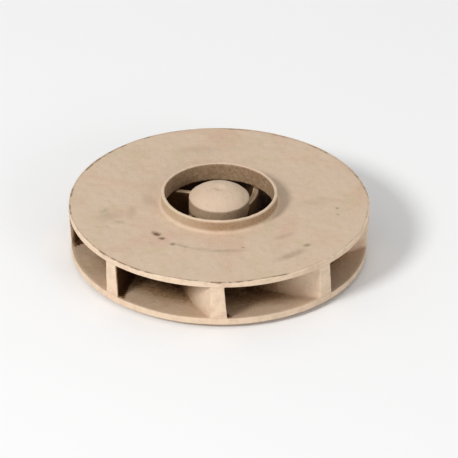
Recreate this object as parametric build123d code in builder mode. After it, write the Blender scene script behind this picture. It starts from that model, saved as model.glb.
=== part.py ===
from build123d import *

import math
import os

# Closed radial pump impeller: one casting with a flat back shroud, backward-curved
# vanes, a flat front shroud with an eye collar, and a hub that ends in a closed,
# domed nose inside the eye. Long vanes that start at the hub take turns with short
# ones that start outside the eye.
# Origin: centre of the machined hub face, on the axis. +Z points to the suction side.
# All sizes are in millimetres and degrees.

# Diameters
rim_diameter = 200.0  # front shroud
back_rim_diameter = 197.0  # back shroud
eye_diameter = 73.2  # bore of the eye
hub_diameter = 40.0
nose_diameter = 38.8  # foot of the dome
boss_diameter = 46.0  # machined hub face at the back

# Heights and wall thicknesses
boss_height = 3.0  # hub face behind the back shroud
back_shroud_thickness = 4.6
outlet_width = 25.0  # clear height between the shrouds
front_shroud_thickness = 4.2
collar_height = 9.2  # above the front shroud
collar_wall = 2.1
hub_rise = 9.0  # top of the hub's cylinder above the underside of the front shroud
nose_step = 0.4  # bevel between the hub's cylinder and the dome
dome_height = 7.2

# Vanes
vane_pairs = 4  # each a long vane and a short one
short_vane_circle = 88.0  # diameter at the inner ends of the short vanes
vane_angle = 54.0  # between a vane and the circumference
vane_inlet_thickness = 4.2
vane_outlet_thickness = 7.2
vane_draft_angle = 1.8  # on each side, wider at the foot
vane_knee_radius = 45.0  # where the two arcs of a side meet
vane_inlet_drop = 0.4  # from the underside of the front shroud down to the inlet edges

# Roundings and bevels
vane_root_bevel = 1.8  # along both shrouds
hub_flare = 9.0  # hub to the floor of the passages
collar_fillet = 3.0  # collar to the front shroud
eye_bevel = 1.2  # lower edge of the eye
rim_bevel = 0.5  # turned edges of both rims
collar_bevel = 0.5
boss_bevel = 0.8

# Shaft thread, blind, tapped from the back
thread_diameter = 20.0
thread_pitch = 1.5
thread_depth = 31.0  # to the end of the tap drill's wall
drill_point_angle = 118.0
thread_mouth_bevel = 1.2

# Lathe centre in the top of the nose
centre_mark_diameter = 2.6
centre_mark_angle = 90.0

# Allowances that the finished casting doesn't show
turning_stock = 3.0  # oversize of the cast rims
seat = 3.0  # how far a vane reaches into the hub and the back shroud

# Radii
rim_radius = rim_diameter / 2
back_rim_radius = back_rim_diameter / 2
eye_radius = eye_diameter / 2
collar_radius = eye_radius + collar_wall
hub_radius = hub_diameter / 2
nose_radius = nose_diameter / 2
boss_radius = boss_diameter / 2
dome_radius = (nose_radius**2 + dome_height**2) / (2 * dome_height)
tap_drill_radius = thread_diameter / 2 - 0.5413 * thread_pitch
centre_mark_radius = centre_mark_diameter / 2

# Levels above the hub face
back_level = boss_height
floor_level = back_level + back_shroud_thickness
ceiling_level = floor_level + outlet_width
face_level = ceiling_level + front_shroud_thickness
collar_level = face_level + collar_height
hub_level = ceiling_level + hub_rise
dome_level = hub_level + nose_step
apex_level = dome_level + dome_height

# A vane starts inside the hub and runs past the rims, where it is turned off.
vane_start = hub_radius - seat
vane_end = rim_radius + turning_stock
vane_height = seat + outlet_width - vane_inlet_drop
vane_slope = math.tan(math.radians(vane_draft_angle))
vane_inlet_bevel = 0.3 * vane_inlet_thickness
bevel_height = seat + vane_root_bevel + seat  # from inside a shroud to inside the vane


def vane_polar(radius):
    """Polar angle of the middle of a vane: an equiangular spiral that meets the rim on +X."""
    return math.degrees(math.log(radius / rim_radius) / math.tan(math.radians(vane_angle)))


def vane_side(side, widening):
    """Three points of one side of a vane, at its end, its knee and its start: 1 is the concave side.

    The thickness grows evenly from the hub to the rim, with the same widening all along.
    """
    points = []
    for radius in (vane_end, vane_knee_radius, vane_start):
        share = (radius - vane_start) / (rim_radius - vane_start)
        thickness = vane_inlet_thickness + share * (vane_outlet_thickness - vane_inlet_thickness)
        middle = Vector(radius, 0).rotate(Axis.Z, vane_polar(radius))
        across = Vector(side * (thickness / 2 + widening), 0)
        points.append(middle + across.rotate(Axis.Z, vane_polar(radius) + 180 - vane_angle))
    return points


def vane_plan(widening):
    """Plan of a vane: on each side two arcs that run smoothly into each other."""
    inwards = Vector(-1, 0).rotate(Axis.Z, vane_polar(vane_end) + 90 - vane_angle)
    with BuildSketch() as plan:
        with BuildLine():
            for side in (1, -1):
                end, knee, start = vane_side(side, widening)
                outer = TangentArc(end, knee, tangent=inwards)
                TangentArc(knee, start, tangent=outer % 1)
            Line(vane_side(1, widening)[-1], vane_side(-1, widening)[-1])
            Line(vane_side(1, widening)[0], vane_side(-1, widening)[0])
        make_face()
    return plan.sketch


# Bevel between a vane and the front shroud. It is drawn upside down, with its wide end
# below, and then mirrored, and it stops at the eye.
with BuildPart() as head_bevel:
    with BuildSketch(Plane.XY.offset(-seat)):
        add(vane_plan(vane_root_bevel + seat - vane_inlet_drop * vane_slope))
    extrude(amount=bevel_height, taper=45)
    Cylinder(eye_radius + eye_bevel, 4 * bevel_height, mode=Mode.SUBTRACT)
    mirror(about=Plane.XY, mode=Mode.REPLACE)

# Long vane: drafted sides, a bevelled inlet edge across the eye, and bevels to both shrouds
with BuildPart() as vane:
    with BuildSketch(Plane.XY.offset(floor_level - seat)):
        add(vane_plan(vane_height * vane_slope))
    extrude(amount=vane_height, taper=vane_draft_angle)
    inlet_edges = vane.faces().sort_by(Axis.Z)[-1].edges().filter_by(GeomType.CIRCLE)
    chamfer(inlet_edges, vane_inlet_bevel)
    with BuildSketch(Plane.XY.offset(floor_level - seat)):
        add(vane_plan((vane_height - seat) * vane_slope + vane_root_bevel + seat))
    extrude(amount=bevel_height, taper=45)
    with Locations((0, 0, ceiling_level)):
        add(head_bevel.part)

# Short vane: a long one cut square across, with a round nose of the same draft
nose_polar = vane_polar(short_vane_circle / 2)
nose_foot = Vector(short_vane_circle / 2, 0, floor_level - seat).rotate(Axis.Z, nose_polar)
nose_share = (short_vane_circle / 2 - vane_start) / (rim_radius - vane_start)
nose_thickness = vane_inlet_thickness + nose_share * (vane_outlet_thickness - vane_inlet_thickness)
with BuildPart() as short_vane:
    add(vane.part)
    split(bisect_by=Plane(nose_foot, z_dir=Vector(1, 0).rotate(Axis.Z, nose_polar + 90 - vane_angle)))
    with Locations(nose_foot):
        Cone(
            nose_thickness / 2 + vane_height * vane_slope,
            nose_thickness / 2,
            vane_height,
            align=(Align.CENTER, Align.CENTER, Align.MIN),
        )

with BuildPart() as impeller:
    # Hub face, back shroud, hub and domed nose, with the rim still oversize
    with BuildSketch(Plane.XZ):
        with BuildLine():
            Polyline(
                (0, 0),
                (boss_radius - boss_bevel, 0),
                (boss_radius, boss_bevel),
                (boss_radius, back_level),
                (back_rim_radius + turning_stock, back_level),
                (back_rim_radius + turning_stock, floor_level),
                (hub_radius + hub_flare, floor_level),
                (hub_radius, floor_level + hub_flare),
                (hub_radius, hub_level),
                (nose_radius, dome_level),
            )
            RadiusArc((nose_radius, dome_level), (0, apex_level), -dome_radius)
            Line((0, apex_level), (0, 0))
        make_face()
    revolve(axis=Axis.Z)

    with PolarLocations(0, vane_pairs):
        add(vane.part)
    with PolarLocations(0, vane_pairs, start_angle=180 / vane_pairs):
        add(short_vane.part)

    # Front shroud with its eye collar, with the rim still oversize
    with BuildSketch(Plane.XZ):
        with BuildLine():
            Polyline(
                (collar_radius + collar_fillet, face_level),
                (rim_radius + turning_stock, face_level),
                (rim_radius + turning_stock, ceiling_level),
                (eye_radius + eye_bevel, ceiling_level),
                (eye_radius, ceiling_level + eye_bevel),
                (eye_radius, collar_level - collar_bevel),
                (eye_radius + collar_bevel, collar_level),
                (collar_radius - collar_bevel, collar_level),
                (collar_radius, collar_level - collar_bevel),
                (collar_radius, face_level + collar_fillet),
            )
            RadiusArc(
                (collar_radius, face_level + collar_fillet),
                (collar_radius + collar_fillet, face_level),
                -collar_fillet,
            )
        make_face()
    revolve(axis=Axis.Z)

    # Turned outside: everything beyond this profile comes off, vane tips included
    with BuildSketch(Plane.XZ):
        with BuildLine():
            Polyline(
                (0, -seat),
                (back_rim_radius - rim_bevel, -seat),
                (back_rim_radius - rim_bevel, back_level),
                (back_rim_radius, back_level + rim_bevel),
                (back_rim_radius, floor_level),
                (rim_radius, ceiling_level),
                (rim_radius, face_level - rim_bevel),
                (rim_radius - rim_bevel, face_level),
                (rim_radius - rim_bevel, apex_level + seat),
                (0, apex_level + seat),
                close=True,
            )
        make_face()
    revolve(axis=Axis.Z, mode=Mode.INTERSECT)

    # Blind shaft thread with the tap drill's point, and the lathe centre in the nose
    with BuildSketch(Plane.XZ):
        with BuildLine():
            Polyline(
                (0, 0),
                (tap_drill_radius + thread_mouth_bevel, 0),
                (tap_drill_radius, thread_mouth_bevel),
                (tap_drill_radius, thread_depth),
                (0, thread_depth + tap_drill_radius / math.tan(math.radians(drill_point_angle / 2))),
                close=True,
            )
        make_face()
        with BuildLine():
            Polyline(
                (0, apex_level + seat),
                (centre_mark_radius, apex_level + seat),
                (centre_mark_radius, apex_level),
                (0, apex_level - centre_mark_radius / math.tan(math.radians(centre_mark_angle / 2))),
                close=True,
            )
        make_face()
    revolve(axis=Axis.Z, mode=Mode.SUBTRACT)

impeller.part.label = "impeller"
os.makedirs("parts", exist_ok=True)
export_step(impeller.part, "parts/impeller.step")
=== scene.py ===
"""Closed pump impeller in cast bronze: two shrouds, a hub, eight vanes and an eye collar.

It stands on a pale studio floor. Shapes are worked out in millimetres and kept in metres.
"""
import math

import bmesh
import bpy
import numpy as np
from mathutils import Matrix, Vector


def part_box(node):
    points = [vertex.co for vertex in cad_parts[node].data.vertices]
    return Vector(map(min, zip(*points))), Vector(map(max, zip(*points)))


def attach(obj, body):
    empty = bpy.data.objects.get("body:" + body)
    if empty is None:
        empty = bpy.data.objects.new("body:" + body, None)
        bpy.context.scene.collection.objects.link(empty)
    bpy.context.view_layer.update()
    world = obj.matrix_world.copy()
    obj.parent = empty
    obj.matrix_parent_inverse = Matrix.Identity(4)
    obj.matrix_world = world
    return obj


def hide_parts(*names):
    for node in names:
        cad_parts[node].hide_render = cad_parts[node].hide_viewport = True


bl_info = {
    "name": "Cast Pump Impeller",
    "version": (1, 0, 0),
    "blender": (4, 5, 0),
    "location": "3D View > Sidebar > Impeller",
    "description": "Builds a closed pump impeller of blasted bronze on a studio floor",
    "category": "Object",
}

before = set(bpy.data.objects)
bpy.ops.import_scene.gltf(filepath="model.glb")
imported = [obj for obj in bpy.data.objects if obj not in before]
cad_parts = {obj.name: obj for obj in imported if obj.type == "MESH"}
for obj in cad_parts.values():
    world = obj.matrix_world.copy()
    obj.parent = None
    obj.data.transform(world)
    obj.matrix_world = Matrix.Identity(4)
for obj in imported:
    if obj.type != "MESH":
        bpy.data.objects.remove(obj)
LOW, HIGH = (np.array(corner) * 1000 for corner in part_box("impeller"))
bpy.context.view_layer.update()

# Steps round the axis
BACK_COLUMNS, FRONT_COLUMNS, THREAD_COLUMNS, FLOOR_COLUMNS = 384, 540, 96, 96

# How far inside the rim's edge the broken seam runs, in millimetres
SEAM_INSET = 0.75

# Marks on the front face: x, y, half length, half width and turn, in millimetres and radians
PITS = (  # and depth
    (-41.0, -38.8, 3.4, 2.3, -0.82, 1.10),
    (-37.4, -44.9, 2.1, 1.8, -0.7, 0.85),
    (-30.1, -52.3, 1.8, 1.7, 0.4, 0.55),
    (57.9, -52.5, 2.6, 1.8, 0.5, 0.22),
    (16.0, -56.0, 1.0, 0.8, 0.2, 0.40),
    (78.6, -4.6, 1.2, 0.9, 0.7, 0.35),
    (78.8, -13.0, 1.1, 0.8, 0.1, 0.30),
    (-22.0, -56.0, 0.8, 0.7, 0.3, 0.30),
)
STAINS = (  # and strength
    (47.5, -65.0, 11.5, 3.1, 0.66, 0.34),
    (-13.0, -58.8, 9.0, 1.9, -0.12, 0.20),
    (4.0, -60.4, 13.0, 1.9, 0.05, 0.28),
    (43.0, -41.5, 8.0, 2.4, 0.55, 0.20),
    (-58.0, -12.0, 9.0, 3.2, 1.40, 0.16),
    (-72.0, -17.0, 9.0, 7.0, 0.5, 0.17),
    (-76.0, -11.0, 5.0, 2.0, 0.9, 0.22),
    (-24.0, -55.0, 7.0, 1.3, -0.4, 0.30),
    (-66.0, -25.0, 4.5, 2.0, -0.2, 0.22),
    (-47.0, 3.0, 4.0, 8.0, 0.2, 0.15),
    (-14.0, 70.0, 14.0, 5.0, 0.1, 0.14),
    (66.0, 3.0, 12.0, 5.0, 0.2, 0.10),
)

# Soft round lights: name, place and width in metres, and share of the key light's power
LIGHTS = (
    ("key", (-2.7, -2.5, 2.8), 1.2, 1.0),
    ("front", (2.7, -3.4, 1.7), 1.8, 0.27),
    ("top", (0.3, 0.4, 4.0), 2.6, 0.12),
)
CAMERA_PLACE = (0.0, -3.417672, 2.081346)
CAMERA_TURN = (58.86509, -0.43340, 0.15008)  # degrees
SENSOR_WIDTH = 36.0
FLOOR_RADIUS = 4.0
FLOOR_GAP = 0.05  # millimetres between the floor and the hub face, so that they don't share a plane


# ---------------------------------------------------------------- sizes and finishes


def length(name, description, millimetres):
    """A size property, given in millimetres and kept in metres."""
    return bpy.props.FloatProperty(
        name=name, description=description, default=millimetres / 1000,
        min=0.0, soft_max=0.5, precision=5, subtype="DISTANCE", unit="LENGTH")


def colour(name, description, value):
    """A linear colour property."""
    return bpy.props.FloatVectorProperty(
        name=name, description=description, default=value,
        size=3, min=0.0, max=1.0, subtype="COLOR")


class ImpellerSizes(bpy.types.PropertyGroup):
    """Sizes of the casting, all in the frame of the machined hub face."""

    rim_radius: length("Rim radius", "Outside radius of the front shroud", (HIGH[0] - LOW[0]) / 2)
    back_rim_radius: length("Back rim radius", "Outside radius of the back shroud", 98.5)
    eye_radius: length("Eye radius", "Inside radius of the eye collar", 36.6)
    collar_radius: length("Collar radius", "Outside radius of the eye collar", 38.7)
    hub_radius: length("Hub radius", "Radius of the hub between the vanes", 20.0)
    nose_radius: length("Nose radius", "Radius at the foot of the domed nose", 19.85)
    boss_radius: length("Boss radius", "Radius of the machined face at the back", 23.0)
    back_level: length("Back level", "Height of the back shroud's back", 3.0)
    floor_level: length("Floor level", "Height of the passage floor", 7.6)
    ceiling_level: length("Ceiling level", "Height of the passage ceiling", 32.6)
    face_level: length("Face level", "Height of the front shroud's face", 36.8)
    collar_level: length("Collar level", "Height of the collar's lip", 46.0)
    hub_level: length("Hub level", "Height of the hub's shoulder", 41.6)
    dome_level: length("Dome level", "Height of the foot of the dome", 42.0)
    apex_level: length("Apex level", "Height of the top of the dome", HIGH[2])
    ridge_level: length("Ridge level", "Height of the vane ridges across the eye", 32.2)
    short_start: length("Short vane start", "Radius at the inner ends of the short vanes", 44.0)
    inlet_thickness: length("Inlet thickness", "Vane thickness at the hub", 4.2)
    outlet_thickness: length("Outlet thickness", "Vane thickness at the rim", 7.2)
    root_radius: length("Root radius", "Radius of the fillets along the vanes", 1.0)
    bore_radius: length("Thread minor radius", "Radius of the tap drill", 9.188)
    thread_radius: length("Thread major radius", "Major radius of the shaft thread", 10.0)
    thread_pitch: length("Thread pitch", "Pitch of the shaft thread", 1.5)
    unevenness: length("Unevenness", "Height of the slow waves of the sand mould", 0.11)
    seam_depth: length("Seam depth", "Depth of the broken seam inside the rim's edge", 0.42)
    vane_angle: bpy.props.FloatProperty(
        name="Vane angle", description="Angle between a vane and the circle that it crosses",
        default=math.radians(54), subtype="ANGLE", unit="ROTATION")
    vane_count: bpy.props.IntProperty(
        name="Vanes", description="Number of vanes", default=8, min=3, max=16)


class BronzeFinish(bpy.types.PropertyGroup):
    """Colours and gloss of the blasted bronze, and the colours of its painted shade and highlights.
    """

    skin: colour("Blasted skin", "Pale blasted bronze", (0.68, 0.527, 0.392))
    warm: colour("Warm blotches", "Copper-rich blotches", (0.665, 0.475, 0.348))
    cool: colour("Cool blotches", "Yellow-green blotches", (0.62, 0.505, 0.335))
    speck: colour("Dark specks", "Fine darker grain", (0.50, 0.385, 0.27))
    glint: colour("Light specks", "Fine lighter grain", (0.80, 0.64, 0.48))
    # Also the colour of painted shade in the eye and the passages
    oxide_and_shade: colour("Oxide", "Brown skin of the eye and the passages", (0.34, 0.215, 0.115))
    # Painted deep shade, almost black, far in the passages and on the vanes' hollow sides
    burnt_skin_and_deep_shade: colour("Dark oxide", "Burnt skin deep in the passages", (0.080, 0.034, 0.010))
    dirt: colour("Dirt", "Dirt in the pits, stains and seam", (0.155, 0.098, 0.052))
    # Also used for painted highlights on lips, edges and ridges, and painted light by the rim
    bright: colour("Bright metal", "Metal rubbed bright at the edges", (0.86, 0.68, 0.50))
    roughness: bpy.props.FloatProperty(
        name="Roughness", description="Roughness of the blasted skin", default=0.82,
        min=0.0, max=1.0, subtype="FACTOR")
    grain: bpy.props.FloatProperty(
        name="Grain height", description="Height of the blasted grain", default=0.00035,
        min=0.0, precision=6, subtype="DISTANCE", unit="LENGTH")
    metal: bpy.props.FloatProperty(
        name="Metallic", description="Share of metallic reflection", default=0.12,
        min=0.0, max=1.0, subtype="FACTOR")


class StudioSettings(bpy.types.PropertyGroup):
    """The floor, the lights and the lens."""

    floor_colour: colour("Floor", "Colour of the pale floor", (0.96, 0.96, 0.96))
    key_power: bpy.props.FloatProperty(
        name="Key light", description="Power of the large soft light", default=132.0,
        min=0.0, unit="POWER")
    room_light: bpy.props.FloatProperty(
        name="Room light", description="Strength of the even light from all round", default=0.45,
        min=0.0)
    lens: bpy.props.FloatProperty(
        name="Lens", description="Focal length", default=471.11, min=50.0, unit="CAMERA")


def millimetres(group, *names):
    """The named sizes of a property group, in millimetres."""
    return [getattr(group, name) * 1000 for name in names]


# ---------------------------------------------------------------- surfaces


def waves(points, wavelengths, seed, terms=14):
    """Slow random waves through space, as one move of about unit height along each axis.

    Each is a sum of sines of the distance along random directions, with random wavelengths in the
    given range and random phases.
    """
    rng = np.random.default_rng(seed)
    flat = points.reshape(-1, 3)
    total = np.zeros_like(flat)
    for axis in range(3):
        direction = rng.normal(size=(terms, 3))
        direction /= np.linalg.norm(direction, axis=1)[:, None]
        size = rng.uniform(wavelengths[0], wavelengths[1], terms)
        phase = rng.uniform(0, 2 * np.pi, terms)
        angle = flat @ (direction * (2 * np.pi / size)[:, None]).T + phase
        total[:, axis] = np.sin(angle).sum(axis=1) / math.sqrt(terms / 2)
    return total.reshape(points.shape)


def ramp(value, start, end):
    """Smooth step: 0 before start and 1 after end, with a cubic between."""
    share = np.clip((value - start) / (end - start), 0, 1)
    return share * share * (3 - 2 * share)


def cast(points):
    """Moves points as an uneven sand mould would, by amounts worked out from place.

    Slow waves, finer waves and a ripple are added together, and each pit presses a soft oval into
    the face. The machined hub face stays true, and the turned rims are smoother and stay round.
    """
    rim, face, height = millimetres(
        bpy.context.scene.impeller_sizes, "rim_radius", "face_level", "unevenness")
    # Heights where the machined face ends, cast skin is full and the front rim's part begins, and
    # the radius where the turned rim begins
    machined_to, cast_from, front_from, turned_from = 2.4, 5.0, 20.0, 99.4
    radius = np.hypot(points[..., 0], points[..., 1])
    level = points[..., 2]
    rough = ramp(level, machined_to, cast_from) * (
        0.35 + 0.65 * ramp(turned_from - radius, 0.0, 2.0))
    moved = points + rough[..., None] * height * (
        0.75 * waves(points, (14, 48), 3) + 0.42 * waves(points, (4.5, 9), 5)
        + 0.22 * waves(points, (2.2, 3.6), 7))
    for *oval, depth in PITS:
        moved[..., 2] -= depth * spread(points, *oval) * (np.abs(level - face) < 1.0)
    limit = np.where(level > front_from, rim - 0.03, np.inf)
    turned = np.hypot(moved[..., 0], moved[..., 1])
    moved[..., :2] *= np.minimum(1, limit / np.maximum(turned, 1e-6))[..., None]
    moved[..., 2] = np.clip(moved[..., 2], 0.0, HIGH[2] - 0.02)
    return moved


def spread(points, x, y, long, wide, turn):
    """A soft oval: 1 in its middle, falling off as e to the minus cube of the distance.

    The distance is 1 at the oval's half length and at its half width.
    """
    along = (points[..., 0] - x) * math.cos(turn) + (points[..., 1] - y) * math.sin(turn)
    across = (points[..., 1] - y) * math.cos(turn) - (points[..., 0] - x) * math.sin(turn)
    return np.exp(-((along / long) ** 2 + (across / wide) ** 2) ** 1.5)


def seam(points, radius, face):
    """The broken seam inside the rim's edge, from 0 to 1: a bell across a circle that wanders.

    Waves along the circle break it into dashes, and it fades towards the right.
    """
    wander, half_width, reach = 0.30, 0.66, 0.9
    angle = np.arctan2(points[..., 1], points[..., 0])
    ring = np.stack([np.cos(angle), np.sin(angle), 0 * angle], axis=-1) * 100
    broken = 0.3 + 0.7 * ramp(waves(ring, (9, 34), 21)[..., 0], -0.6, 0.4)
    broken *= 0.5 + 0.5 * ramp(waves(ring, (3, 6), 22)[..., 0], -0.6, 0.4)
    broken *= 1 - 0.65 * ramp(points[..., 0], 40, 75) * ramp(-points[..., 1], -25, 0)
    away = np.hypot(points[..., 0], points[..., 1]) - radius
    away = away - wander * waves(ring, (20, 60), 23)[..., 0]
    return np.exp(-(away / half_width) ** 2) * broken * (points[..., 2] > face - reach)


def soft_profile(corners, closed):
    """A line through corners, each rounded by an arc that touches both of its legs.

    A corner is r, z, arc radius and the spacing of the points on the leg that follows it. An arc's
    centre lies on the bisector, radius / sin(half angle) from the corner, and the arc turns evenly
    from one leg to the other.
    """
    corner = np.array([c[:2] for c in corners], float)
    count = len(corners)
    pieces = []
    for index, (_, _, arc, _) in enumerate(corners):
        here = corner[index]
        if arc <= 0 or (not closed and index in (0, count - 1)):
            pieces.append(here[None])
            continue
        before, after = corner[index - 1] - here, corner[(index + 1) % count] - here
        before, after = before / np.linalg.norm(before), after / np.linalg.norm(after)
        half = math.acos(np.clip(before @ after, -1, 1)) / 2
        reach = arc / math.tan(half)
        bisector = (before + after) / np.linalg.norm(before + after)
        centre = here + bisector * arc / math.sin(half)
        start, end = here + before * reach - centre, here + after * reach - centre
        sweep = math.pi - 2 * half
        steps = max(4, int(math.degrees(sweep) / 11), int(arc * sweep / 0.9))
        share = np.linspace(0, 1, steps + 1)[:, None]
        turned = start * np.sin((1 - share) * sweep) + end * np.sin(share * sweep)
        pieces.append(centre + turned / math.sin(sweep))
    line = []
    for index in range(count):
        line.append(pieces[index])
        if closed or index < count - 1:
            start, end = pieces[index][-1], pieces[(index + 1) % count][0]
            parts = max(1, int(math.ceil(np.linalg.norm(end - start) / corners[index][3])))
            line.append(start + (end - start) * (np.arange(1, parts) / parts)[:, None])
    return np.concatenate(line)


def lathe(profile, count):
    """The profile's r and z carried round the axis: x = r cos a, y = r sin a, z = z."""
    angle = np.arange(count) * 2 * np.pi / count
    r, z = profile[:, :1], profile[:, 1:]
    return np.stack([r * np.cos(angle), r * np.sin(angle), z + 0 * angle], axis=-1)


def skin(name, points, ends, marks, smooth=True):
    """A closed mesh from a grid of rows by columns, in millimetres, with its marks as attributes.

    Columns always join round. The rows' ends either join each other (ring), or shrink to a point
    each (pole), or are rows folded flat whose points meet in pairs (fold). Faces are turned
    outwards by the sign of the volume.
    """
    rows, columns = points.shape[:2]
    ring, pole = ends == "ring", ends == "pole"
    if pole:
        vertices = np.concatenate(
            [points[0].mean(0)[None], points[1:-1].reshape(-1, 3), points[-1].mean(0)[None]])
        bands, lead = rows - 3, 1
    else:
        vertices = points.reshape(-1, 3)
        bands, lead = (rows if ring else rows - 1), 0
    row = np.arange(bands)[:, None]
    column = np.arange(columns)[None]
    step = (column + 1) % columns
    below = lead + row * columns
    above = lead + ((row + 1) % rows if ring else row + 1) * columns
    quads = np.stack(
        [below + column, below + step, above + step, above + column], axis=-1).reshape(-1, 4)
    triangles = np.zeros((0, 3), int)
    if pole:
        here, after = column[0], step[0]
        tail = 1 + bands * columns
        low_pole, high_pole = np.zeros_like(here), np.full_like(here, len(vertices) - 1)
        triangles = np.concatenate([
            np.stack([low_pole, 1 + after, 1 + here], axis=-1),
            np.stack([high_pole, tail + here, tail + after], axis=-1)])
    corner = [vertices[quads[:, index]] for index in range(4)]
    across = np.cross(corner[1], corner[2]) + np.cross(corner[2], corner[3])
    if np.einsum("ij,ij->i", corner[0], across).sum() < 0:
        quads, triangles = quads[:, ::-1], triangles[:, ::-1]
    mesh = bpy.data.meshes.new(name)
    mesh.vertices.add(len(vertices))
    mesh.vertices.foreach_set("co", (vertices / 1000).astype(np.float32).ravel())
    mesh.loops.add(quads.size + triangles.size)
    loops = np.concatenate([quads.ravel(), triangles.ravel()])
    mesh.loops.foreach_set("vertex_index", loops.astype(np.int32))
    mesh.polygons.add(len(quads) + len(triangles))
    starts = np.concatenate(
        [np.arange(len(quads)) * 4, quads.size + np.arange(len(triangles)) * 3])
    mesh.polygons.foreach_set("loop_start", starts.astype(np.int32))
    mesh.update(calc_edges=True)
    if ends == "fold":
        work = bmesh.new()
        work.from_mesh(mesh)
        bmesh.ops.remove_doubles(work, verts=work.verts, dist=2e-6)
        work.to_mesh(mesh)
        work.free()
        vertices = np.empty(len(mesh.vertices) * 3, np.float32)
        mesh.vertices.foreach_get("co", vertices)
        vertices = vertices.reshape(-1, 3).astype(float) * 1000
    mesh.validate()
    for key, value in marks(vertices).items():
        attribute = mesh.attributes.new(key, "FLOAT", "POINT")
        attribute.data.foreach_set("value", value.astype(np.float32))
    mesh.polygons.foreach_set("use_smooth", np.full(len(mesh.polygons), smooth))
    old = bpy.data.objects.get(name)
    if old:
        bpy.data.objects.remove(old)
    piece = bpy.data.objects.new(name, mesh)
    bpy.context.scene.collection.objects.link(piece)
    return piece


def dress(piece, material):
    """Gives a finished piece its material and its place in the frame."""
    piece.data.materials.append(material)
    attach(piece, "root")
    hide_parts("impeller")


def beside_vane(points, s):
    """Distance from the middle of the nearest vane, square to it: above zero on its hollow side.

    It is the angle to the vane's spiral, times the radius and the sine of the vane angle.
    """
    radius = np.maximum(np.hypot(points[..., 0], points[..., 1]), 1.0)
    spiral = np.log(radius / (s.rim_radius * 1000)) / math.tan(s.vane_angle)
    turn = np.arctan2(points[..., 1], points[..., 0]) - spiral
    pitch = 2 * np.pi / s.vane_count
    return ((turn + pitch / 2) % pitch - pitch / 2) * radius * math.sin(s.vane_angle)


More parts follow.
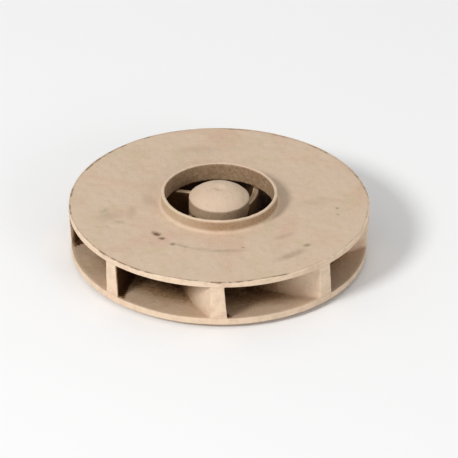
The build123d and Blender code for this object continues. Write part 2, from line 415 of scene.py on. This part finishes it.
def skin_marks(vertices):
    """Where the skin is brown, painted in shade or light, rubbed bright or grimy, worked out from
    place.

    Oxide and painted shade deepen in the passages from the rim inwards and on the hollow side of
    each vane, and cover the collar and the side of the hub; the collar's outside is painted lighter
    towards the left, where the key light falls. Vane ends and turned rims are rubbed, lips, ridges
    and the rim's edge are rubbed and carry painted highlights, and the passages by the rim carry
    painted light. Grime sits in the pits, the stains and the seam. A mark is 0 on clean skin and 1
    where it is full, and the oxide and shade mark goes up to 1.3, where it is painted almost black.
    Each is a product of smooth steps and bells.
    """
    s = bpy.context.scene.impeller_sizes
    rim, back_rim, hub, collar = millimetres(
        s, "rim_radius", "back_rim_radius", "hub_radius", "collar_radius")
    floor, ceiling, face = millimetres(s, "floor_level", "ceiling_level", "face_level")
    lip_level, dome, ridge_level = millimetres(s, "collar_level", "dome_level", "ridge_level")
    radius = np.hypot(vertices[:, 0], vertices[:, 1])
    level = vertices[:, 2]
    inward = rim - radius
    beside = beside_vane(vertices, s)

    # Oxide and painted shade in the passages, in the collar's bore, on the hub's side and outside
    # the collar: deepest, almost black, far in from the rim and on each vane's hollow side. The
    # ridges across the eye are rubbed and painted lighter, nearly clear of it.
    passage_oxide_and_shade = ramp(level, floor - 0.8, floor + 0.1) * ramp(-level, -ceiling - 1.6, -ceiling + 0.1)
    on_floor = 0.20 * ramp(floor + 1.2 - level, 0, 1) * ramp(inward, 2.0, 4.0)
    # Painted shadow on the hollow side of each vane, almost black
    shade_by_vane = 1.30 * ramp(beside, 1.2, 2.4) * (beside < 9) * ramp(inward, 1.5, 6.0)
    # Painted shade that deepens far in from the rim, less towards the eye
    passage_oxide_and_shade *= 0.03 * ramp(inward, 0.9, 2.2) + 0.83 * ramp(inward, 8.0, 40.0) + np.maximum(
        on_floor, shade_by_vane)
    passage_oxide_and_shade *= 1 - 0.30 * ramp(46 - radius, 0, 7)
    # Oxide and painted shade in the collar's bore and on the hub's side, where the collar and the
    # hub shade them
    eye = ramp(collar - 1.0 - radius, 0.0, 0.6) * ramp(lip_level - level, 0.1, 1.0)
    eye *= ramp(level, 29, 31)
    eye *= 0.47 * ramp(radius, hub + 8, hub + 10) + 0.37 * ramp(hub + 8 - radius, 0, 2)
    eye *= 1 - ramp(level, dome - 0.9, dome - 0.1) * ramp(hub + 1 - radius, 0, 1)
    # Oxide outside the collar, painted lighter towards the left, where the key light falls
    wall = np.exp(-((radius - collar) / 0.9) ** 2) * ramp(level, face + 0.8, face + 3)
    wall *= ramp(lip_level - level, 0.6, 1.4)
    wall *= 0.5 + 0.5 * ramp(vertices[:, 0], -32, 0)
    # Painted highlight on the ridges across the eye, with rubbed metal
    ridge = ramp(level, ridge_level - 1.1, ridge_level - 0.3) * ramp(37.0 - radius, 0, 0.5)
    ridge *= ramp(radius, hub + 0.1, hub + 0.4) * ramp(ridge_level + 0.8 - level, 0, 0.4)
    ridge *= 0.4 + 0.6 * ramp(np.abs(beside), 0.7, 1.5)
    oxide_and_shade = np.maximum(np.maximum(passage_oxide_and_shade, eye), 0.42 * wall) - 0.6 * ridge

    # Rubbed metal on the vane ends and the turned bands of both rims; rubbed metal and painted
    # highlights on the lip, the rim's edge and the ridges; painted light on the passages by the rim
    lip = np.exp(-((level - lip_level) / 0.45) ** 2) * ramp(radius, 35, 36)
    edge = np.exp(-((radius - rim + 0.1) / 0.5) ** 2) * np.exp(-((level - face + 0.2) / 0.5) ** 2)
    cone = (rim - back_rim) * (level - floor) / (ceiling - floor)
    tip = ramp(radius - back_rim - cone, -0.6, -0.3)
    tip *= ramp(level, floor, floor + 1) * ramp(ceiling - level, 0, 1)
    # Painted light on the passages' walls and floor by the rim
    outlet_light = ramp(level, floor + 0.3, floor + 2) * ramp(ceiling - level, 0, 1.5)
    outlet_light *= ramp(radius, rim - 15, rim - 4)
    front_band = ramp(radius, rim - 0.4, rim - 0.2) * ramp(level, ceiling, ceiling + 0.5)
    back_band = ramp(radius, back_rim - 0.5, back_rim - 0.3) * ramp(floor + 0.2 - level, 0, 0.3)
    wear_and_highlight = (0.25 * lip + edge + 0.8 * ridge + 0.15 * tip + 0.5 * outlet_light
              + 0.5 * (front_band + back_band))

    # Grime in the seam and in the marks on the face
    grime = 0.95 * seam(vertices, rim - SEAM_INSET, face)
    on_face = np.abs(level - face) < 1.3
    ovals = [(oval, min(1.0, 0.45 + 0.6 * depth)) for *oval, depth in PITS]
    ovals += [(oval, strength) for *oval, strength in STAINS]
    for oval, strength in ovals:
        grime = np.maximum(grime, spread(vertices, *oval) * on_face * strength)
    return {"oxide_and_shade": np.clip(oxide_and_shade, 0, 1.3), "wear_and_highlight": np.clip(wear_and_highlight, 0, 1), "grime": grime}


# ---------------------------------------------------------------- materials


def blasted_bronze():
    """Blasted cast bronze: a pale grainy skin with blotches, brown oxide with painted shade, and
    brighter rubbed edges with painted highlights.
    """
    finish = bpy.context.scene.bronze_finish
    material = bpy.data.materials.new("blasted_bronze")
    material.use_nodes = True
    tree = material.node_tree
    tree.nodes.clear()
    add, link = tree.nodes.new, tree.links.new

    def noise(scale, detail, roughness, distortion=0.0):
        """Cloud pattern on the object's own coordinates."""
        node = add("ShaderNodeTexNoise")
        node.inputs["Scale"].default_value = scale
        node.inputs["Detail"].default_value = detail
        node.inputs["Roughness"].default_value = roughness
        node.inputs["Distortion"].default_value = distortion
        link(place.outputs["Object"], node.inputs["Vector"])
        return node.outputs["Fac"]

    def levels(value, low, high, bottom=0.0, top=1.0):
        """Stretches the range low to high over bottom to top, clamped."""
        node = add("ShaderNodeMapRange")
        node.inputs["From Min"].default_value = low
        node.inputs["From Max"].default_value = high
        node.inputs["To Min"].default_value = bottom
        node.inputs["To Max"].default_value = top
        link(value, node.inputs["Value"])
        return node.outputs["Result"]

    def feed(node, values):
        """Links each value to its socket, or sets it there where it is a plain one."""
        for index, value in values.items():
            if isinstance(value, bpy.types.NodeSocket):
                link(value, node.inputs[index])
            else:
                node.inputs[index].default_value = value

    def blend(first, second, share):
        """Mixes two colours by a share."""
        node = add("ShaderNodeMix")
        node.data_type = "RGBA"
        feed(node, {6: first, 7: second, 0: share})
        return node.outputs[2]

    def combine(kind, first, second):
        """Adds or multiplies two values."""
        node = add("ShaderNodeMath")
        node.operation = kind
        feed(node, {0: first, 1: second})
        return node.outputs[0]

    def mark(name):
        """A value kept on the mesh."""
        node = add("ShaderNodeAttribute")
        node.attribute_name = name
        return node.outputs["Fac"]

    place = add("ShaderNodeTexCoord")
    shader = add("ShaderNodeBsdfPrincipled")
    output = add("ShaderNodeOutputMaterial")
    link(shader.outputs["BSDF"], output.inputs["Surface"])

    def paint(key):
        """One of the finish's colours."""
        return (*getattr(finish, key), 1.0)

    base = blend(paint("skin"), paint("warm"), levels(noise(38, 4, 0.55, 0.4), 0.47, 0.66))
    base = blend(base, paint("cool"), levels(noise(55, 5, 0.6, 0.6), 0.52, 0.70))
    base = blend(base, paint("speck"), levels(noise(240, 4, 0.7), 0.56, 0.78, 0.0, 0.55))
    base = blend(base, paint("glint"), levels(noise(900, 3, 0.7), 0.55, 0.75, 0.0, 0.5))
    # Bright metal where rubbed, with painted highlights and painted light by the rim
    wear_and_highlight = combine("MULTIPLY", mark("wear_and_highlight"), levels(noise(160, 4, 0.6), 0.34, 0.56))
    base = blend(base, paint("bright"), wear_and_highlight)
    # Oxide, and painted shade that turns almost black deep in the passages
    patchy = levels(noise(480, 4, 0.7, 0.5), 0.32, 0.66, 0.80, 1.18)
    brown_and_shade = combine("MULTIPLY", mark("oxide_and_shade"), patchy)
    base = blend(base, paint("oxide_and_shade"), levels(brown_and_shade, 0.0, 0.55))
    base = blend(base, paint("burnt_skin_and_deep_shade"), levels(brown_and_shade, 0.42, 1.0))
    patchy = levels(noise(420, 4, 0.7), 0.30, 0.55, 0.70, 1.0)
    base = blend(base, paint("dirt"), combine("MULTIPLY", mark("grime"), patchy))
    link(base, shader.inputs["Base Color"])

    grain = combine("ADD", combine("MULTIPLY", noise(1300, 3, 0.7), 0.6), noise(420, 4, 0.65))
    bump = add("ShaderNodeBump")
    bump.inputs["Strength"].default_value = 0.9
    bump.inputs["Distance"].default_value = finish.grain
    link(grain, bump.inputs["Height"])
    link(bump.outputs["Normal"], shader.inputs["Normal"])
    rough = levels(noise(260, 4, 0.6), 0.3, 0.7, finish.roughness - 0.08, finish.roughness + 0.1)
    link(rough, shader.inputs["Roughness"])
    shader.inputs["Metallic"].default_value = finish.metal
    shader.inputs["Specular IOR Level"].default_value = 0.2
    return material


def bronze():
    """The one bronze that every piece shares."""
    return bpy.data.materials.get("blasted_bronze") or blasted_bronze()


def floor_paint(value):
    """Matte pale paint."""
    material = bpy.data.materials.new("floor_paint")
    material.use_nodes = True
    shader = material.node_tree.nodes["Principled BSDF"]
    shader.inputs["Base Color"].default_value = (*value, 1.0)
    shader.inputs["Roughness"].default_value = 0.85
    return material


# ---------------------------------------------------------------- operators


class IMPELLER_OT_back_shroud(bpy.types.Operator):
    """Back shroud, hub and domed nose, as one turned and cast solid"""

    bl_idname = "impeller.back_shroud"
    bl_label = "Back shroud and hub"

    def execute(self, context):
        s = context.scene.impeller_sizes
        rim, hub, nose, boss, bore = millimetres(
            s, "back_rim_radius", "hub_radius", "nose_radius", "boss_radius", "bore_radius")
        back, floor, hub_top, dome_foot, apex = millimetres(
            s, "back_level", "floor_level", "hub_level", "dome_level", "apex_level")

        # The dome stands above its foot by its whole height times (1 - (r / nose)^2.5)^0.88
        r = nose * np.sin(np.linspace(0.07, 0.5, 30) * np.pi)
        z = dome_foot + (apex - dome_foot) * (1 - (r / nose) ** 2.5) ** 0.88
        dome = [(float(across), float(height), 0.0, 2.0) for across, height in zip(r, z)]
        centre_mark = apex - 1.3
        sleeve, sleeve_end, bore_end, drill_point = bore + 1.7, 30.2, 31.0, 36.5
        profile = soft_profile([
            (0.0, centre_mark, 0.0, 0.25), *dome[:-1], (nose, dome_foot, 0.0, 0.3),
            (hub, hub_top - 0.1, 0.25, 1.1), (hub, floor, 11.5, 1.2), (rim, floor, 0.45, 0.6),
            (rim, back, 0.7, 2.2), (boss, back, 0.6, 0.5), (boss, 0.0, 0.7, 1.4),
            (sleeve, 0.0, 0.0, 3.0), (sleeve, sleeve_end, 0.0, 0.8), (bore, bore_end, 0.0, 1.0),
            (0.0, drill_point, 0.0, 1.0),
        ], closed=False)
        grid = cast(lathe(profile, BACK_COLUMNS))
        dress(skin("back_shroud", grid, "pole", skin_marks), bronze())
        return {"FINISHED"}


class IMPELLER_OT_front_shroud(bpy.types.Operator):
    """Front shroud with its eye collar, as one ring"""

    bl_idname = "impeller.front_shroud"
    bl_label = "Front shroud and collar"

    def execute(self, context):
        s = context.scene.impeller_sizes
        rim, eye, collar, seam_depth = millimetres(
            s, "rim_radius", "eye_radius", "collar_radius", "seam_depth")
        ceiling, face, lip = millimetres(s, "ceiling_level", "face_level", "collar_level")
        profile = soft_profile([
            (eye, ceiling, 1.5, 1.0), (eye, lip, 0.75, 0.5), (collar, lip, 0.8, 1.0),
            (collar, face, 2.4, 0.85), (rim - 2.6, face, 0.0, 0.2), (rim, face, 0.35, 0.6),
            (rim, ceiling, 0.4, 2.4),
        ], closed=True)
        grid = lathe(profile, FRONT_COLUMNS)
        grid[..., 2] -= seam_depth * seam(grid, rim - SEAM_INSET, face)
        dress(skin("front_shroud", cast(grid), "ring", skin_marks), bronze())
        return {"FINISHED"}


class IMPELLER_OT_vanes(bpy.types.Operator):
    """Backward-curved vanes, each lofted from the hub to the rim with rounded roots and ridge"""

    bl_idname = "impeller.vanes"
    bl_label = "Vanes"

    def execute(self, context):
        s = context.scene.impeller_sizes
        for number in range(s.vane_count):
            grid = cast(vane_surface(s, number))
            dress(skin(f"vane_{number + 1}", grid, "fold", skin_marks), bronze())
        return {"FINISHED"}


def vane_surface(s, number):
    """One vane as a grid: rows run from its inner end to the rim and columns go round its section.

    The middle follows an equiangular spiral, angle = ln(r / rim) / tan(vane angle). At any height
    each side stands off by half the thickness plus draft, and swells in a circle's arc to both
    shrouds. Across the eye the top is a rounded ridge, and beyond it the top runs up into the front
    shroud. Every other vane is a short one. The first rows open in a circle's arc, the nose, which
    a long vane buries in the hub. The last rows close in on the middle, so the tip is a face on the
    rims' cone with soft corners. The lean is an angle that falls evenly from the foot to the head
    and grows towards the rim.
    """
    rim, back_rim, floor, ceiling, ridge, thin, thick, root, hub, short = millimetres(
        s, "rim_radius", "back_rim_radius", "floor_level", "ceiling_level", "ridge_level",
        "inlet_thickness", "outlet_thickness", "root_radius", "hub_radius", "short_start")
    in_hub, in_floor, in_ceiling = 3.5, 1.0, 0.4  # how deep a vane is let into them
    start = hub - in_hub if number % 2 == 0 else short
    ridge_round, tip_round, draft = 1.9, 0.55, math.tan(math.radians(1.8))
    thin_to = 17.0  # radius where the thickness begins to grow
    least_lean, more_lean, upright_vanes = 0.5, 0.9, 5  # degrees, and more for each vane after
    arc_steps, wall_steps = 9, 18
    nose_rows, body_rows, edge_rows, close_rows = 8, 109, 4, 6

    # One side from foot to ridge, as height above the floor and then as turn round the ridge:
    # the buried foot, the foot fillet, the wall, the head fillet and the rounded ridge
    quarter = np.linspace(0, np.pi / 2, arc_steps)
    buried = ceiling + in_ceiling
    rise = np.concatenate([
        [-in_floor], root * (1 - np.cos(quarter)),
        np.linspace(root, buried - floor - root, wall_steps)[1:-1],
        (buried - floor - root * (1 - np.sin(quarter)))[:-1]])
    opening = np.concatenate([rise, np.full(arc_steps, rise[-1])])
    turn = np.concatenate([np.zeros(len(rise)), np.linspace(0.12, np.pi / 2, arc_steps)])
    side = np.concatenate([np.ones(len(opening)), -np.ones(len(opening) - 1)])
    opening, turn = (np.concatenate([value, value[-2::-1]]) for value in (opening, turn))

    # Rows, as how each grows along the vane: the nose, the length, the tip's edge and its face
    nose = np.linspace(0, np.pi / 2, nose_rows)
    edge = np.linspace(0, np.pi / 2, edge_rows + 1)[1:]

    def along(at_nose, at_body, at_edge, at_face):
        """One value for every row, as a column."""
        return np.concatenate([
            at_nose * np.ones(nose_rows), at_body * np.ones(body_rows),
            at_edge * np.ones(edge_rows), at_face * np.ones(close_rows)])[:, None]

    share = along(0, np.linspace(0, 1, body_rows + 1)[1:], 1, 1)
    nose_open = along(np.sin(nose), 1, 1, 1)
    nose_back = along(np.cos(nose), 0, 0, 0)
    inset = along(0, 0, tip_round * (1 - np.cos(edge)), tip_round)
    lift = along(0, 0, tip_round * np.sin(edge), tip_round)
    narrow = along(1, 1, 1, np.linspace(1, 0, close_rows + 1)[1:])

    tip = back_rim + (rim - back_rim) * np.clip(opening / (ceiling - floor), 0, 1)[None] - 0.05
    r = start + (tip - tip_round - start) * share + lift - nose_back * thin * 0.5
    in_shroud = ramp(r, 37.4, 39.6)
    top = ridge - ridge_round + in_shroud * (ceiling + 1.2 - ridge)
    wall = np.clip((opening - root) / (rise[-1] - root), 0, 1)[None]
    level = floor + np.minimum(opening, root)[None] + wall * (top - floor - root)
    level = level + ridge_round * np.sin(turn)[None]
    half = (thin + (r - thin_to) / (rim - thin_to) * (thick - thin)) / 2
    half = half + (ridge - level) * draft
    foot = np.clip(1 - (level - floor) / root, 0, 1)
    head = np.clip(1 - (ceiling - level) / root, 0, 1)
    half = half + root * (1 - np.sqrt(1 - foot ** 2))
    half = half + root * (1 - np.sqrt(1 - head ** 2)) * ramp(r, 38.0, 41.0)
    half = np.maximum(half - ridge_round * (1 - np.cos(turn))[None] * 1.02, 0.02)
    half = np.maximum(half * nose_open - inset, 0) * narrow
    angle = np.log(r / rim) / math.tan(s.vane_angle)
    angle = angle + side[None] * half / (r * math.sin(s.vane_angle))
    lean = math.radians(least_lean + more_lean * max(number - upright_vanes, 0))
    lean = lean * ramp(r, 55.0, rim)
    lean = lean * (0.75 - np.clip((level - floor) / (ceiling - floor), 0, 1))
    angle = angle + number * 2 * np.pi / s.vane_count + lean
    return np.stack([r * np.cos(angle), r * np.sin(angle), level + 0 * r], axis=-1)


class IMPELLER_OT_thread(bpy.types.Operator):
    """Shaft thread, as a sleeve let into the bore"""

    bl_idname = "impeller.thread"
    bl_label = "Shaft thread"

    def execute(self, context):
        s = context.scene.impeller_sizes
        minor, major, pitch = millimetres(s, "bore_radius", "thread_radius", "thread_pitch")
        outer, mouth, thread_end, end, rows = minor + 1.75, 0.01, 30.4, 30.9, 242
        z = np.linspace(1.3, thread_end, rows)
        inner = np.stack([np.full_like(z, minor), z], axis=-1)
        profile = np.concatenate([
            [(minor + 1.2, mouth), (minor + 0.6, 0.6)], inner,
            [(minor, end), (outer, end), (outer, mouth)]])
        points = lathe(profile, THREAD_COLUMNS)

        # The groove's depth goes by the part of a turn, z / pitch - angle / full turn: a flat crest
        # and two flanks, in shares of the pitch, that run out at both ends
        flat, flank = 1 / 16, 5 / 16
        angle = np.arctan2(points[..., 1], points[..., 0])
        turn = (points[..., 2] / pitch - angle / (2 * np.pi)) % 1
        depth = (major - minor) * (1 - np.clip((np.abs(turn - 0.5) - flat) / flank, 0, 1))
        depth *= ramp(-points[..., 2], -29.5, -27.0) * ramp(points[..., 2], 0.2, 1.0)
        radius = np.hypot(points[..., 0], points[..., 1])
        cut = np.where(radius < minor + 0.1, minor + depth, radius)
        points[..., :2] *= (cut / radius)[..., None]
        dress(skin("shaft_thread", points, "ring", skin_marks), bronze())
        return {"FINISHED"}


class IMPELLER_OT_studio(bpy.types.Operator):
    """Pale floor, soft lights and the camera"""

    bl_idname = "impeller.studio"
    bl_label = "Studio"

    def execute(self, context):
        scene, s = context.scene, context.scene.studio_settings
        reach, top, bottom = FLOOR_RADIUS * 1000, -FLOOR_GAP, -20.0
        slab = np.array([(0, top), (reach, top), (reach, bottom), (0, bottom)])
        grid = lathe(slab, FLOOR_COLUMNS)
        floor = skin("floor", grid, "pole", lambda vertices: {}, smooth=False)
        floor.data.materials.append(floor_paint(s.floor_colour))

        world = bpy.data.worlds.new("studio")
        world.use_nodes = True
        background = world.node_tree.nodes["Background"]
        background.inputs["Color"].default_value = (1.0, 1.0, 1.0, 1.0)
        background.inputs["Strength"].default_value = s.room_light
        scene.world = world

        for name, place, size, share in LIGHTS:
            light = bpy.data.lights.new(name, "AREA")
            light.shape, light.size, light.energy = "DISK", size, s.key_power * share
            lamp = bpy.data.objects.new(name, light)
            lamp.location = place
            x, y, z = place  # it aims at the middle of the floor
            lamp.rotation_euler = (
                math.atan2(math.hypot(x, y), z), 0, math.atan2(-y, -x) - math.pi / 2)
            scene.collection.objects.link(lamp)

        lens = bpy.data.cameras.new("camera")
        lens.lens, lens.sensor_width, lens.sensor_fit = s.lens, SENSOR_WIDTH, "HORIZONTAL"
        lens.clip_start, lens.clip_end = 0.1, 30.0
        camera = bpy.data.objects.new("camera", lens)
        camera.location = CAMERA_PLACE
        camera.rotation_euler = tuple(math.radians(turn) for turn in CAMERA_TURN)
        scene.collection.objects.link(camera)
        scene.camera = camera
        scene.view_settings.view_transform = "Standard"
        return {"FINISHED"}


class IMPELLER_PT_panel(bpy.types.Panel):
    """Lists the pieces of the impeller, its sizes, its finish and the studio."""

    bl_idname = "IMPELLER_PT_panel"
    bl_label = "Pump Impeller"
    bl_space_type = "VIEW_3D"
    bl_region_type = "UI"
    bl_category = "Impeller"

    def draw(self, context):
        for step in STEPS:
            self.layout.operator(step.bl_idname)
        for name in GROUPS:
            group = getattr(context.scene, name)
            box = self.layout.box()
            for key in group.bl_rna.properties.keys():
                if key not in {"rna_type", "name"}:
                    box.prop(group, key)


STEPS = (IMPELLER_OT_back_shroud, IMPELLER_OT_front_shroud, IMPELLER_OT_vanes,
         IMPELLER_OT_thread, IMPELLER_OT_studio)
GROUPS = {
    "impeller_sizes": ImpellerSizes,
    "bronze_finish": BronzeFinish,
    "studio_settings": StudioSettings,
}


def register():
    """Registers the property groups, the operators and the panel."""
    for group in GROUPS.values():
        bpy.utils.register_class(group)
    for step in (*STEPS, IMPELLER_PT_panel):
        bpy.utils.register_class(step)
    for key, group in GROUPS.items():
        setattr(bpy.types.Scene, key, bpy.props.PointerProperty(type=group))


def unregister():
    """Takes them off again, in the other order."""
    for key in GROUPS:
        delattr(bpy.types.Scene, key)
    for item in (IMPELLER_PT_panel, *reversed(STEPS), *GROUPS.values()):
        bpy.utils.unregister_class(item)


def main():
    """Builds every piece in order."""
    register()
    for step in STEPS:
        group, name = step.bl_idname.split(".")
        getattr(getattr(bpy.ops, group), name)()


if __name__ == "__main__":
    main()
